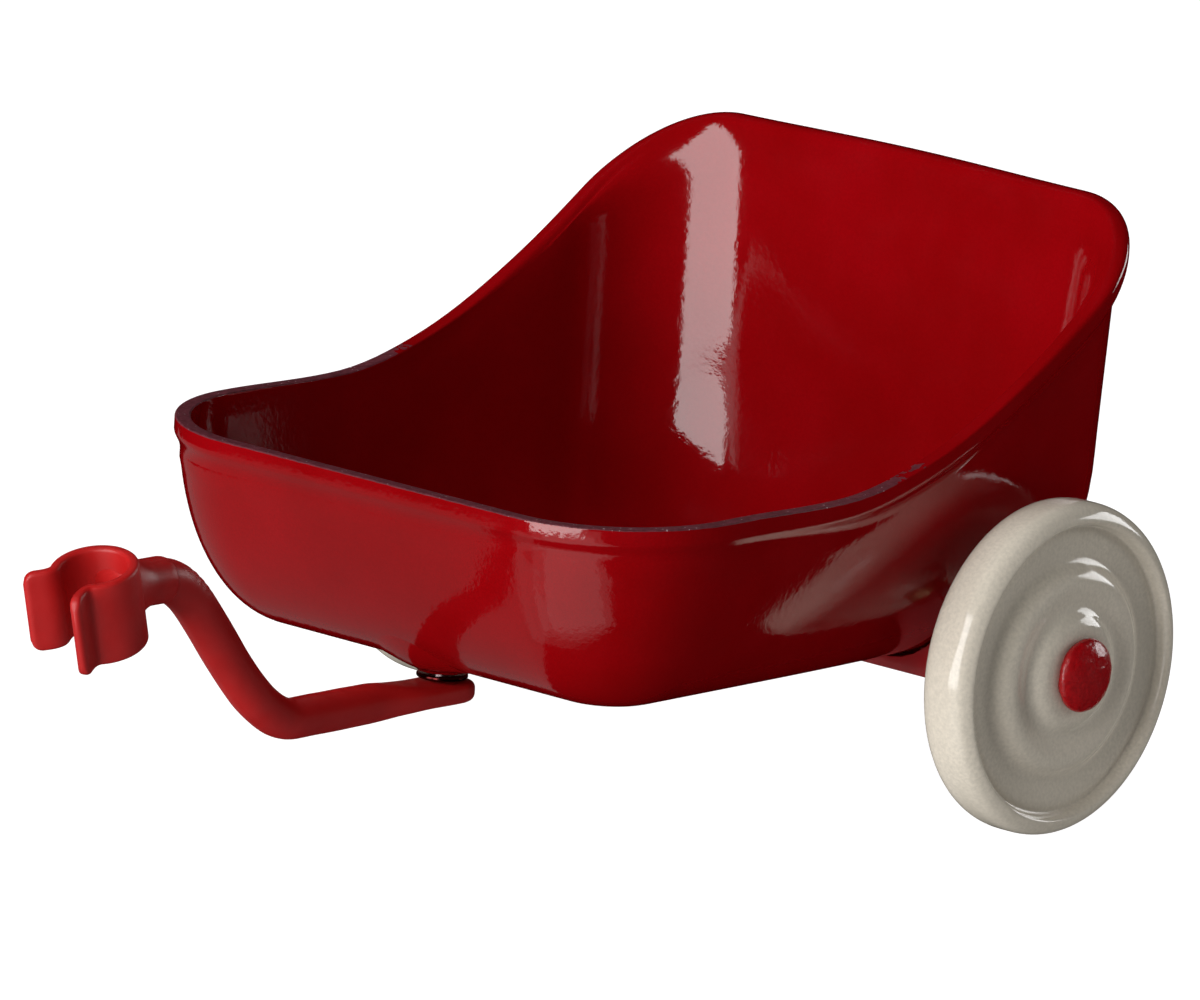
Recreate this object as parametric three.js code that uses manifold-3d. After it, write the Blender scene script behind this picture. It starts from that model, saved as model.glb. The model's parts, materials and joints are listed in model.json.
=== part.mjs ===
// Doll-size two-wheeled trailer: an enamelled sheet-steel tub on two disc wheels, drawn by a
// swivelling tow bar that ends in a snap clip. Millimetres, +Z up, the tow bar points to -Y.
// Inside this file y = 0 is the middle of the tub and z = 0 is the ground.
import * as THREE from "three";
import { mergeVertices } from "three/addons/utils/BufferGeometryUtils.js";
import Module from "manifold-3d";

const wasm = await Module();
wasm.setup();

// ---------- driving dimensions ----------

const GAP = 0.3; // left between pieces that touch
const SHAFT_CLEARANCE = 0.1; // radial, round a shaft in its hole
const DRILL = { low: 10, high: 24 }; // heights that a drill passes, through floor and bracket

const tub = {
  length: 85.7,
  width: 74.3,
  frontCorner: 16.7, // plan radius of the rim
  backCorner: 12.6,
  tightestCorner: 1.5,
  underside: 16.3, // the floor's lower face above the ground
  sheet: 1.2,
  edgeReach: 12.9, // the rounded bottom edge: how far in it starts
  edgeRise: 21.9, // and how high it ends
  draft: 0.045,
  overhang: 0.75, // how far the lip stands out at the front and sides
  backOverhang: 1.3,
  overhangGrowsTo: 36, // y where the lip reaches its full overhang
  lipDepth: 4.5, // from the rim down to the plain wall
  lipBand: 1.7, // upright edge of the lip
};

// Height of the rim along the side, as [y, z]: level in front, sweeping up to the back.
const rimLine = [
  [-42.85, 37.8],
  [-25, 38.3],
  [-8, 38.3],
  [0, 39.6],
  [10, 43.0],
  [21, 48.8],
  [32, 56.1],
  [42.85, 63.9],
];

const wheel = {
  radius: 18,
  innerFace: 38.65, // distance of the wheel's inner face from the middle plane
  width: 7.5,
  axleY: 19.8,
  boreRadius: 1.5,
  roundOver: 3.5, // radius of the tread's edges
  rimEdge: 60, // degrees of the outer rounding before the disc's recess cuts it off
  hubBackRadius: 3.2,
};
const outerFace = wheel.innerFace + wheel.width;

const bracket = {
  depth: 7.6, // along the trailer
  halfWidth: 36,
  underside: 14.4,
  sheet: 1,
  top: 21.4,
  hollowFrom: 20, // the ends are hollow from here outwards
  curvedFrom: 18, // its top follows the tub's rounded edge from here
  curvedTo: 32, // to here
  chamfer: 1,
};

const rivet = { offset: 14, radius: 1, headRadius: 1.9, headHeight: 0.9 };

const stub = {
  radius: wheel.boreRadius - SHAFT_CLEARANCE,
  headRadius: 2.2,
  headThickness: 1.1,
  end: outerFace + 1.6,
  bushRadius: 2.6,
};

const cap = { radius: 4, start: outerFace + 0.75, height: 1.9 };

const pivot = {
  y: -28.97,
  bossRadius: 2.6,
  bossFlare: 1.2, // how much wider the boss is where it meets the floor
  bossFace: 15.5, // the boss's lower face
  washerRadius: 3.05,
  washerThickness: 0.5,
  screwRadius: 1.1,
  screwHeadRadius: 2.4,
  screwHeadHeight: 1.4,
};

const bar = {
  diameter: 4.15,
  neckDiameter: 4.65,
  eyeCentreZ: 13.25,
  eyeHeight: 2.6,
  eyeWidth: 5.8,
  eyeSquareness: 0.6, // 1 is an ellipse, less is flatter above and below
  tail: 3.9, // how far the eye runs past the pivot
  centreZ: 13.3,
  lowBend: { y: -55.9, takesBefore: 4.2, takesAfter: 9.9 }, // how much of each straight it takes
  highBend: { y: -70.1, z: 30.6, takesBefore: 5.4, takesAfter: 3 },
  end: { y: -73.3, z: 30.8 },
};

const clip = {
  outerRadius: 4.65,
  wall: 1.15,
  height: 9.1,
  lean: 18, // degrees, the top towards the front
  tilt: 4,
  turn: -10,
  centreY: -81.8,
  centreZ: 29.3,
  mouthAngle: 40, // degrees from straight ahead to where each lip leaves the ring
  lipLength: 3.3,
  lipFlare: 32, // degrees, outwards
  neckRadius: 2.5,
  tenonRadius: 1.1,
  tenonLength: 3,
};

const finish = {
  tubEnamel: { color: 0xa50f1e, roughness: 0.12, metalness: 0 },
  wheelEnamel: { color: 0xe4dccb, roughness: 0.15, metalness: 0 },
  capEnamel: { color: 0xc4121d, roughness: 0.2, metalness: 0 },
  redPlastic: { color: 0xa8161c, roughness: 0.5, metalness: 0 },
  redPaint: { color: 0x8f1018, roughness: 0.4, metalness: 0 },
  steel: { color: 0x9a9aa0, roughness: 0.35, metalness: 1 },
  brass: { color: 0xb08d4a, roughness: 0.35, metalness: 1 },
};

const SIDES = [
  { name: "left", sign: 1 },
  { name: "right", sign: -1 },
];

// ---------- helpers ----------

const counts = (n) => Array.from({ length: n }, (_, i) => i);
const radians = THREE.MathUtils.degToRad;
const { lerp, smoothstep } = THREE.MathUtils;

function makeMesh(name, geometry, look) {
  const mesh = new THREE.Mesh(geometry, new THREE.MeshStandardMaterial(look));
  mesh.name = name;
  return mesh;
}

function toSolid(geometry) {
  const bare = geometry.clone();
  bare.deleteAttribute("normal");
  bare.deleteAttribute("uv");
  const merged = mergeVertices(bare, 1e-4);
  return new wasm.Manifold(
    new wasm.Mesh({
      numProp: 3,
      vertProperties: merged.attributes.position.array,
      triVerts: new Uint32Array(merged.index.array),
    }),
  );
}

function toGeometry(solid) {
  const mesh = solid.getMesh();
  const geometry = new THREE.BufferGeometry();
  geometry.setAttribute("position", new THREE.BufferAttribute(mesh.vertProperties, 3));
  geometry.setIndex(new THREE.BufferAttribute(mesh.triVerts, 1));
  geometry.computeVertexNormals();
  return geometry;
}

function combine(base, joined, cut) {
  let solid = toSolid(base);
  for (const piece of joined) solid = solid.add(toSolid(piece));
  for (const piece of cut) solid = solid.subtract(toSolid(piece));
  return toGeometry(solid);
}

// A closed body through rings of points, with a fan of triangles over the first and last ring.
function ringBody(rings) {
  const size = rings[0].length;
  const vertices = rings.flat();
  const middle = (ring) =>
    ring.reduce((sum, p) => sum.add(p), new THREE.Vector3()).divideScalar(size);
  const startCentre = vertices.push(middle(rings[0])) - 1;
  const endCentre = vertices.push(middle(rings[rings.length - 1])) - 1;
  const lastRing = (rings.length - 1) * size;
  const faces = [];
  for (const j of counts(size)) {
    const next = (j + 1) % size;
    faces.push(startCentre, next, j);
    faces.push(endCentre, lastRing + j, lastRing + next);
    for (const i of counts(rings.length - 1)) {
      const low = i * size;
      const high = low + size;
      faces.push(low + j, low + next, high + next, low + j, high + next, high + j);
    }
  }
  const geometry = new THREE.BufferGeometry().setFromPoints(vertices);
  geometry.setIndex(faces);
  geometry.computeVertexNormals();
  return geometry;
}

// A smooth function through [x, value] points.
function smoothThrough(points) {
  const slopes = points.map((_, i) => {
    const before = points[Math.max(i - 1, 0)];
    const after = points[Math.min(i + 1, points.length - 1)];
    return (after[1] - before[1]) / (after[0] - before[0]);
  });
  return (x) => {
    const last = points.length - 2;
    const i = Math.min(Math.max(points.findLastIndex((p) => p[0] <= x), 0), last);
    const [x0, v0] = points[i];
    const [x1, v1] = points[i + 1];
    const span = x1 - x0;
    const t = THREE.MathUtils.clamp((x - x0) / span, 0, 1);
    const rise = v0 * (1 + 2 * t) * (1 - t) ** 2 + v1 * t * t * (3 - 2 * t);
    return rise + span * (slopes[i] * t * (1 - t) ** 2 - slopes[i + 1] * t * t * (1 - t));
  };
}

// A turned body from [along, radius] points that start and end on the axis or close on themselves.
function turned(profile, segments) {
  const points = profile.map(([along, radius]) => new THREE.Vector2(radius, along));
  if (THREE.ShapeUtils.area(points) < 0) points.reverse();
  return new THREE.LatheGeometry(points, segments);
}

function turnedAboutX(profile, segments) {
  return turned(profile, segments).rotateZ(-Math.PI / 2);
}

function turnedAboutZ(profile, segments) {
  return turned(profile, segments).rotateX(Math.PI / 2);
}

function rod(start, end, radius) {
  return [
    [start, 0],
    [start, radius],
    [end, radius],
    [end, 0],
  ];
}

function tubeProfile(inner, outer, start, end) {
  return [
    [start, inner],
    [end, inner],
    [end, outer],
    [start, outer],
    [start, inner],
  ];
}

// Puts a piece turned about X on the axle line, on the left (+X) or the right.
function atAxle(geometry, sign) {
  return geometry.rotateZ(sign > 0 ? 0 : Math.PI).translate(0, wheel.axleY, wheel.radius);
}

// ---------- the tub ----------

const rimHeight = smoothThrough(rimLine);

const corners = [
  { x: 1, y: -1, radius: tub.frontCorner, start: -90 },
  { x: 1, y: 1, radius: tub.backCorner, start: 0 },
  { x: -1, y: 1, radius: tub.backCorner, start: 90 },
  { x: -1, y: -1, radius: tub.frontCorner, start: 180 },
];

function cornerPoint(corner, turn, inset) {
  const radius = Math.max(corner.radius - inset, tub.tightestCorner);
  const angle = radians(corner.start + 90 * turn);
  return new THREE.Vector2(
    corner.x * (tub.width / 2 - inset - radius) + radius * Math.cos(angle),
    corner.y * (tub.length / 2 - inset - radius) + radius * Math.sin(angle),
  );
}

// The places round the plan. Each is a function from an inset to its point on the plan.
function planStations(arcSteps, acrossSteps, alongSteps) {
  return corners.flatMap((corner, i) => {
    const next = corners[(i + 1) % corners.length];
    const straightSteps = i % 2 === 0 ? alongSteps : acrossSteps;
    const arc = counts(arcSteps).map((k) => (inset) => cornerPoint(corner, k / arcSteps, inset));
    const straight = counts(straightSteps).map((k) => (inset) => {
      const end = cornerPoint(next, 0, inset);
      return cornerPoint(corner, 1, inset).lerp(end, k / straightSteps);
    });
    return [...arc, ...straight];
  });
}

// How far the lip stands out from the wall at a distance along the tub.
function overhangAt(y) {
  return lerp(tub.overhang, tub.backOverhang, smoothstep(y, 0, tub.overhangGrowsTo));
}

// How far in from the lip's edge a skin of the wall is. The outer skin is 0 deep, the inner a sheet.
function skinInset(z, rimZ, overhang, deep) {
  const climb = Math.min((z - tub.underside - deep) / (tub.edgeRise - deep), 1);
  const rounding = (tub.edgeReach - deep) * (1 - Math.sqrt(1 - (1 - climb) ** 2));
  const straightFrom = Math.max(z, tub.underside + tub.edgeRise);
  const lean = tub.draft * (rimZ - tub.lipDepth - straightFrom);
  return overhang + deep + lean + rounding;
}

// The section of the wall at one place: up the outside, over the lip and down the inside.
function wallSection(y, levels) {
  const rimZ = rimHeight(y);
  const overhang = overhangAt(y);
  const skin = (deep) => {
    const foot = tub.underside + deep;
    const rise = rimZ - tub.lipDepth - foot;
    return counts(levels + 1).map((k) => {
      const z = foot + rise * (1 - Math.cos(((k / levels) * Math.PI) / 2));
      return { z, inset: skinInset(z, rimZ, overhang, deep) };
    });
  };
  const lip = [
    { z: rimZ - tub.lipBand - 1.2, inset: 0.45 * overhang },
    { z: rimZ - tub.lipBand, inset: 0.05 },
    { z: rimZ - 0.15, inset: 0 },
    { z: rimZ, inset: 0.15 },
    { z: rimZ, inset: overhang + tub.sheet - 0.15 },
    { z: rimZ - 0.15, inset: overhang + tub.sheet },
  ];
  return [...skin(0), ...lip, ...skin(tub.sheet).reverse()];
}

function tubShell() {
  const stations = planStations(6, 4, 9);
  const columns = stations.map((at) =>
    wallSection(at(0).y, 9).map(({ z, inset }) => {
      const p = at(inset);
      return new THREE.Vector3(p.x, p.y, z);
    }),
  );
  return ringBody(columns[0].map((_, level) => columns.map((column) => column[level])));
}

const floorTop = tub.underside + tub.sheet;

function post(radius, low, high, x, y) {
  const geometry = new THREE.CylinderGeometry(radius, radius, high - low, 24);
  return geometry.rotateX(Math.PI / 2).translate(x, y, (low + high) / 2);
}

function drillFor(radius, x, y) {
  return post(radius + SHAFT_CLEARANCE, DRILL.low, DRILL.high, x, y);
}

function makeTub() {
  const insideFloor = tub.underside + 0.75 * tub.sheet;
  const boss = turnedAboutZ(
    [
      [pivot.bossFace, 0],
      [pivot.bossFace, pivot.bossRadius],
      [insideFloor, pivot.bossRadius + pivot.bossFlare],
      [insideFloor, 0],
    ],
    32,
  ).translate(0, pivot.y, 0);
  const holes = [
    drillFor(pivot.screwRadius, 0, pivot.y),
    ...SIDES.map(({ sign }) => drillFor(rivet.radius, sign * rivet.offset, wheel.axleY)),
  ];
  const shape = combine(tubShell(), [boss], holes);
  return makeMesh("tub", shape, finish.tubEnamel);
}

// ---------- the axle bracket under the floor ----------

// Height of the tub's lower skin above the axle line, at a distance x from the middle.
function undersideAt(x) {
  const rimZ = rimHeight(wheel.axleY);
  const inset = skinInset(tub.underside, rimZ, overhangAt(wheel.axleY), 0);
  const foot = tub.width / 2 - inset;
  const out = Math.min(Math.max((x - foot) / tub.edgeReach, 0), 1);
  return tub.underside + tub.edgeRise * (1 - Math.sqrt(1 - out * out));
}

// The bracket seen from the front: flat under the floor, its ends rise beside the rounded edge.
function bracketFront() {
  const clearance = 2 * GAP;
  const shoulder = counts(9)
    .map((k) => lerp(bracket.curvedFrom, bracket.curvedTo, k / 8))
    .map((x) => [x, Math.min(undersideAt(x) - clearance, bracket.top)]);
  const right = [
    ...shoulder,
    [bracket.halfWidth, bracket.top],
    [bracket.halfWidth, bracket.underside + bracket.chamfer],
    [bracket.halfWidth - bracket.chamfer, bracket.underside],
  ];
  const left = right.map(([x, z]) => [-x, z]).reverse();
  const shape = new THREE.Shape([...right, ...left].map(([x, z]) => new THREE.Vector2(x, z)));
  return new THREE.ExtrudeGeometry(shape, { depth: bracket.depth, bevelEnabled: false, steps: 1 })
    .rotateX(Math.PI / 2)
    .translate(0, wheel.axleY + bracket.depth / 2, 0);
}

function block(xLow, xHigh, depth, zLow, zHigh) {
  const geometry = new THREE.BoxGeometry(xHigh - xLow, depth, zHigh - zLow);
  return geometry.translate((xLow + xHigh) / 2, wheel.axleY, (zLow + zHigh) / 2);
}

function makeBracket() {
  const inside = bracket.halfWidth - bracket.sheet;
  const hollowDepth = bracket.depth - 2 * bracket.sheet;
  const web = bracket.underside + bracket.sheet;
  const aboveTop = bracket.top + bracket.depth;
  const hole = rod(bracket.hollowFrom, outerFace, stub.radius + SHAFT_CLEARANCE);
  const cuts = SIDES.flatMap(({ sign }) => {
    const ends = [sign * bracket.hollowFrom, sign * inside].sort((a, b) => a - b);
    return [
      block(...ends, hollowDepth, web, aboveTop),
      atAxle(turnedAboutX(hole, 24), sign),
      drillFor(rivet.radius, sign * rivet.offset, wheel.axleY),
    ];
  });
  return makeMesh("axle_bracket", combine(bracketFront(), [], cuts), finish.redPaint);
}

// A domed head below the bracket, a shank through it and the floor, and a head in the tub.
function makeRivet(name, sign) {
  const low = bracket.underside - GAP;
  const high = floorTop + GAP;
  const { headRadius, headHeight } = rivet;
  const profile = [
    [low - headHeight, 0],
    [low - 0.85 * headHeight, 0.6 * headRadius],
    [low, headRadius],
    [low, rivet.radius],
    [high, rivet.radius],
    [high, headRadius],
    [high + 0.85 * headHeight, 0.6 * headRadius],
    [high + headHeight, 0],
  ];
  const shape = turnedAboutZ(profile, 24).translate(sign * rivet.offset, wheel.axleY, 0);
  return makeMesh(name, shape, finish.redPaint);
}

// ---------- wheels and what holds them ----------

// The section of a wheel, as [x, radius]: a round rim, and a disc that steps up to the hub.
function wheelProfile() {
  const inner = wheel.innerFace;
  const outer = outerFace;
  const shoulder = (x, direction, lastAngle) =>
    counts(4).map((k) => {
      const angle = radians((lastAngle * k) / 3);
      const along = wheel.roundOver * (1 - Math.sin(angle));
      return [x + direction * along, wheel.radius - wheel.roundOver * (1 - Math.cos(angle))];
    });
  return [
    [inner - 0.1, wheel.boreRadius],
    [inner - 0.1, wheel.hubBackRadius],
    [inner + 2, 4],
    [inner + 2.2, 13],
    [inner, 14.1],
    ...shoulder(inner, 1, 90).reverse(),
    ...shoulder(outer, -1, wheel.rimEdge),
    [outer - 1.9, 15.7],
    [outer - 1.9, 14.5],
    [outer - 1.3, 11.8],
    [outer - 0.7, 11],
    [outer - 0.5, 7.6],
    [outer + 0.1, 6.6],
    [outer + 0.45, 4.6],
    [outer + 0.45, wheel.boreRadius],
    [inner - 0.1, wheel.boreRadius],
  ];
}

function makeWheel(name, sign) {
  const shape = atAxle(turnedAboutX(wheelProfile(), 40), sign);
  return makeMesh(name, shape, finish.wheelEnamel);
}

// The stub axle: a head behind the bracket's end plate and a shank that carries the wheel.
function makeStub(name, sign) {
  const headEnd = bracket.halfWidth - bracket.sheet - GAP;
  const profile = [
    [headEnd - stub.headThickness, 0],
    [headEnd - stub.headThickness, stub.headRadius],
    [headEnd, stub.headRadius],
    [headEnd, stub.radius],
    [stub.end, stub.radius],
    [stub.end, 0],
  ];
  return makeMesh(name, atAxle(turnedAboutX(profile, 24), sign), finish.steel);
}

// A short bush keeps the wheel off the bracket.
function makeSpacer(name, sign) {
  const start = bracket.halfWidth + GAP;
  const end = wheel.innerFace - 0.1 - GAP;
  const profile = tubeProfile(stub.radius + SHAFT_CLEARANCE, stub.bushRadius, start, end);
  return makeMesh(name, atAxle(turnedAboutX(profile, 24), sign), finish.brass);
}

// The domed cap is pressed on the end of the stub axle and holds the wheel on.
function makeCap(name, sign) {
  const socket = stub.radius + SHAFT_CLEARANCE;
  const dome = counts(5).map((k) => {
    const angle = radians(22.5 * k);
    return [cap.start + 0.3 + (cap.height - 0.3) * Math.sin(angle), cap.radius * Math.cos(angle)];
  });
  const profile = [
    [stub.end + GAP, 0],
    [stub.end + GAP, socket],
    [cap.start, socket],
    [cap.start, cap.radius - 0.15],
    ...dome.slice(0, -1),
    [cap.start + cap.height, 0],
  ];
  return makeMesh(name, atAxle(turnedAboutX(profile, 32), sign), finish.capEnamel);
}

// ---------- the tow bar, its pivot and the clip ----------

function makePivotWasher() {
  const low = pivot.bossFace - GAP - pivot.washerThickness;
  const high = low + pivot.washerThickness;
  const inner = pivot.screwRadius + SHAFT_CLEARANCE;
  const profile = tubeProfile(inner, pivot.washerRadius, low, high);
  const shape = turnedAboutZ(profile, 32).translate(0, pivot.y, 0);
  return makeMesh("pivot_washer", shape, finish.steel);
}

// The screw's head lies in the tub, and its shank goes down through the floor into the eye.
function makePivotScrew() {
  const seat = floorTop + GAP;
  const foot = bar.eyeCentreZ - 0.2;
  const profile = [
    [foot, 0],
    [foot, pivot.screwRadius],
    [seat, pivot.screwRadius],
    [seat, pivot.screwHeadRadius],
    [seat + 0.6, pivot.screwHeadRadius],
    [seat + pivot.screwHeadHeight, 0.7 * pivot.screwHeadRadius],
    [seat + pivot.screwHeadHeight, 0],
  ];
  const slot = new THREE.BoxGeometry(2 * pivot.screwHeadRadius + 1, 0.7, 1.4);
  slot.translate(0, 0, seat + pivot.screwHeadHeight);
  const shape = combine(turnedAboutZ(profile, 32), [], [slot]).translate(0, pivot.y, 0);
  return makeMesh("pivot_screw", shape, finish.steel);
}

// The centre line: level under the tub, up through two bends, and level again into the clip.
function barPath() {
  const eye = new THREE.Vector3(0, pivot.y + bar.tail, bar.centreZ);
  const low = new THREE.Vector3(0, bar.lowBend.y, bar.centreZ);
  const high = new THREE.Vector3(0, bar.highBend.y, bar.highBend.z);
  const end = new THREE.Vector3(0, bar.end.y, bar.end.z);
  const bends = [
    { from: eye, at: low, to: high, ...bar.lowBend },
    { from: low, at: high, to: end, ...bar.highBend },
  ];
  const path = new THREE.CurvePath();
  const toward = (from, to, distance) => {
    const way = to.clone().sub(from).setLength(distance);
    return way.add(from);
  };
  let start = eye;
  for (const { from, at, to, takesBefore, takesAfter } of bends) {
    const enter = toward(at, from, takesBefore);
    const leave = toward(at, to, takesAfter);
    path.add(new THREE.LineCurve3(start, enter));
    path.add(new THREE.QuadraticBezierCurve3(enter, at, leave));
    start = leave;
  }
  path.add(new THREE.LineCurve3(start, end));
  return path;
}

// The bar's section at a distance from the tip of its eye: flat at the eye, then round.
function barSection(distance, total) {
  const rounding = bar.eyeWidth / 2;
  const tip = Math.sqrt(1 - (1 - Math.min(distance / rounding, 1)) ** 2);
  const round = smoothstep(distance, bar.tail + pivot.washerRadius, bar.tail + 12);
  const diameter = lerp(bar.diameter, bar.neckDiameter, distance / total);
  const width = tip * lerp(bar.eyeWidth, diameter, round);
  const height = lerp(0.55 + 0.45 * tip, 1, round) * lerp(bar.eyeHeight, diameter, round);
  const power = lerp(bar.eyeSquareness, 1, round);
  const bulge = (value) => Math.sign(value) * Math.abs(value) ** power;
  const sides = 16;
  return counts(sides).map((k) => {
    const angle = (k / sides) * 2 * Math.PI;
    return {
      across: (width / 2) * bulge(Math.cos(angle)),
      rise: (height / 2) * bulge(Math.sin(angle)) - (1 - round) * (bar.centreZ - bar.eyeCentreZ),
    };
  });
}

function makeBar() {
  const path = barPath();
  const total = path.getLength();
  const roundedTip = [0.15, 0.6, 1.4, 2.7];
  const afterTip = 4.2;
  const steps = 34;
  const along = counts(steps).map((k) => lerp(afterTip, total, k / (steps - 1)));
  const distances = [...roundedTip, ...along];
  const rings = distances.map((distance) => {
    const at = path.getPointAt(distance / total);
    const ahead = path.getTangentAt(distance / total);
    const upward = new THREE.Vector3(1, 0, 0).cross(ahead).negate();
    return barSection(distance, total).map(({ across, rise }) => {
      const point = at.clone().addScaledVector(upward, rise);
      point.x += across;
      return point;
    });
  });
  const holeFoot = bar.eyeCentreZ - 0.5;
  const screwHole = post(pivot.screwRadius + SHAFT_CLEARANCE, holeFoot, 20, 0, pivot.y);
  const socketRadius = clip.tenonRadius + 2 * SHAFT_CLEARANCE;
  const socketLength = 10;
  const socket = new THREE.CylinderGeometry(socketRadius, socketRadius, socketLength, 20);
  socket.translate(0, bar.end.y + clip.tenonLength - socketLength / 2, bar.end.z);
  return makeMesh("tow_bar", combine(ringBody(rings), [], [screwHole, socket]), finish.redPlastic);
}

// Middle line of the clip's wall in plan, from straight behind to the tip of one lip.
function clipHalfLine() {
  const radius = clip.outerRadius - clip.wall / 2;
  const ringEnd = 180 - clip.mouthAngle;
  const ringSteps = 11;
  const ring = counts(ringSteps + 1).map((k) => {
    const angle = radians((ringEnd * k) / ringSteps);
    return new THREE.Vector2(radius * Math.sin(angle), radius * Math.cos(angle));
  });
  const flare = radians(clip.lipFlare);
  const root = ring[ringSteps];
  const tip = new THREE.Vector2(Math.sin(flare), -Math.cos(flare))
    .multiplyScalar(clip.lipLength)
    .add(root);
  const bend = new THREE.QuadraticBezierCurve(
    ring[ringSteps - 1],
    root,
    root.clone().lerp(tip, 0.4),
  );
  return [...ring.slice(0, -1), ...bend.getPoints(4).slice(1), tip];
}

// A strip of even thickness along a line, as a closed outline.
function stripOutline(line, thickness) {
  const sides = line.map((p, i) => {
    const before = line[Math.max(i - 1, 0)];
    const after = line[Math.min(i + 1, line.length - 1)];
    const along = after.clone().sub(before).normalize();
    const across = new THREE.Vector2(-along.y, along.x).multiplyScalar(thickness / 2);
    return [p.clone().add(across), p.clone().sub(across)];
  });
  return [...sides.map((s) => s[0]), ...sides.map((s) => s[1]).reverse()];
}

function clipRing() {
  const half = clipHalfLine();
  const mirrored = half.map((p) => new THREE.Vector2(-p.x, p.y)).reverse();
  const line = [...mirrored, ...half.slice(1)];
  return new THREE.ExtrudeGeometry(new THREE.Shape(stripOutline(line, clip.wall)), {
    depth: clip.height,
    bevelEnabled: false,
    steps: 1,
  })
    .translate(0, 0, -clip.height / 2)
    .rotateZ(radians(clip.turn))
    .rotateY(radians(clip.tilt))
    .rotateX(radians(clip.lean))
    .translate(0, clip.centreY, clip.centreZ);
}

// A round pin along Y at the height of the bar's end.
function neckPin(radius, start, end) {
  const geometry = new THREE.CylinderGeometry(radius, radius, end - start, 24);
  return geometry.translate(0, (start + end) / 2, bar.end.z);
}

function makeClip() {
  const neckStart = clip.centreY + clip.outerRadius - 0.5 * clip.wall;
  const neckEnd = bar.end.y - GAP;
  const neck = neckPin(clip.neckRadius, neckStart, neckEnd);
  const tenon = neckPin(clip.tenonRadius, neckEnd - 1, neckEnd + clip.tenonLength);
  return makeMesh("hitch_clip", combine(clipRing(), [neck, tenon], []), finish.redPlastic);
}

// ---------- the whole trailer ----------

const trailer = new THREE.Group();
trailer.add(makeTub(), makeBracket());
for (const { name, sign } of SIDES) {
  trailer.add(
    makeRivet(`${name}_rivet`, sign),
    makeStub(`${name}_stub_axle`, sign),
    makeSpacer(`${name}_spacer`, sign),
    makeWheel(`${name}_wheel`, sign),
    makeCap(`${name}_hub_cap`, sign),
  );
}
trailer.add(makePivotWasher(), makePivotScrew(), makeBar(), makeClip());

// The origin is on the ground, under the middle of the whole trailer.
const extent = new THREE.Box3().setFromObject(trailer);
trailer.position.y = -(extent.min.y + extent.max.y) / 2;
const part = new THREE.Group();
part.add(trailer);

export default part;
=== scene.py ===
import json
import math

import bmesh
import bpy
from mathutils import Matrix, Vector, noise


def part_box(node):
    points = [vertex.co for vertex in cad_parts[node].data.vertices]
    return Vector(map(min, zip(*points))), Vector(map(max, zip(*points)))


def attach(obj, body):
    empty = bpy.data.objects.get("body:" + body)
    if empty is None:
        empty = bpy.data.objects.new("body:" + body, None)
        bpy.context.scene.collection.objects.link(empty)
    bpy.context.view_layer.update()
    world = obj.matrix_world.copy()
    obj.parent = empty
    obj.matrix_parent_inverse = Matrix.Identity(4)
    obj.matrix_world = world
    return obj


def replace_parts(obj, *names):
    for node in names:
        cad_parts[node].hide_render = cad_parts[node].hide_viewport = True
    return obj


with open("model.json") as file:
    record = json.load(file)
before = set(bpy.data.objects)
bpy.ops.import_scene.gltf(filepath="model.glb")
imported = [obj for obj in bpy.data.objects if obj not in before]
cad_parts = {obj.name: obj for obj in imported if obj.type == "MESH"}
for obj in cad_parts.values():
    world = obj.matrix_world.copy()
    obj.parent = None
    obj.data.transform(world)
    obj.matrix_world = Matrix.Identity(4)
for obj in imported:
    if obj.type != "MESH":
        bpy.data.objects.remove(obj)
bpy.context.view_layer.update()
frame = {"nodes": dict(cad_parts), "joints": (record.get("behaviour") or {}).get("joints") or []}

MM = 0.001
SIDES = {"left": 1, "right": -1}


def joint_at(name):
    joint = next(j for j in frame["joints"] if j["name"] == name)
    return Vector(joint["pos_m"])


# ---------- dimensions ----------

TUB_LOW, TUB_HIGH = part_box("tub")
TUB_MIDDLE = (TUB_LOW.y + TUB_HIGH.y) / 2
TUB_LENGTH = TUB_HIGH.y - TUB_LOW.y
TUB_WIDTH = TUB_HIGH.x - TUB_LOW.x
TUB_FOOT = 16.3 * MM
SHEET = 1.2 * MM
FRONT_CORNER = 16.7 * MM
BACK_CORNER = 12.6 * MM
# Inside, the back corners sweep wider than the edge does, from a little below it.
INNER_SWEEP = 14 * MM
SWEEP_FROM = 0.4 * MM
SWEEP_BY = 3.4 * MM
# Inside, the tall back part leans more and more on its way down: height, how far further in.
INNER_LEAN = [
    (28 * MM, 1.5 * MM),
    (36 * MM, 1.25 * MM),
    (44 * MM, 0.75 * MM),
    (52 * MM, 0.35 * MM),
    (64.5 * MM, 0),
]
CROWN = 0.4 * MM
CROWN_REACH = 28 * MM
TIGHTEST_CORNER = 1.5 * MM
EDGE_REACH = 12.9 * MM
EDGE_RISE = 21.9 * MM
DRAFT = 0.045
LIP_DEPTH = 4.5 * MM
FRONT_OVERHANG = 0.75 * MM
BACK_OVERHANG = 1.3 * MM
# The lip's sizes where the edge is trimmed flat, and at the back, where it curls outwards.
LIP_SIZES = {
    "edge": (0.28 * MM, 0.95 * MM),
    "inner_edge": (0.3 * MM, 2.9 * MM),
    "band": (1.7 * MM, 2.2 * MM),
    "heel": (0.35 * MM, 0.9 * MM),
    "cove": (1.3 * MM, 2.2 * MM),
    "inner_run": (2.4 * MM, 3.6 * MM),
}
COVE_RADIUS = 0.8 * MM
# Stretches of the side, as distances behind the tub's middle.
OVERHANG_GROWS = (0, 36 * MM)
LIP_CURLS = (8 * MM, 36 * MM)
CROWN_GROWS = (38 * MM, 42 * MM)
TRIM_FADES = (-12 * MM, 14 * MM)
# How far below the rim the trimmed top of the edge starts and is whole.
TRIM_DEPTHS = (0.22 * MM, 0.06 * MM)
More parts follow.
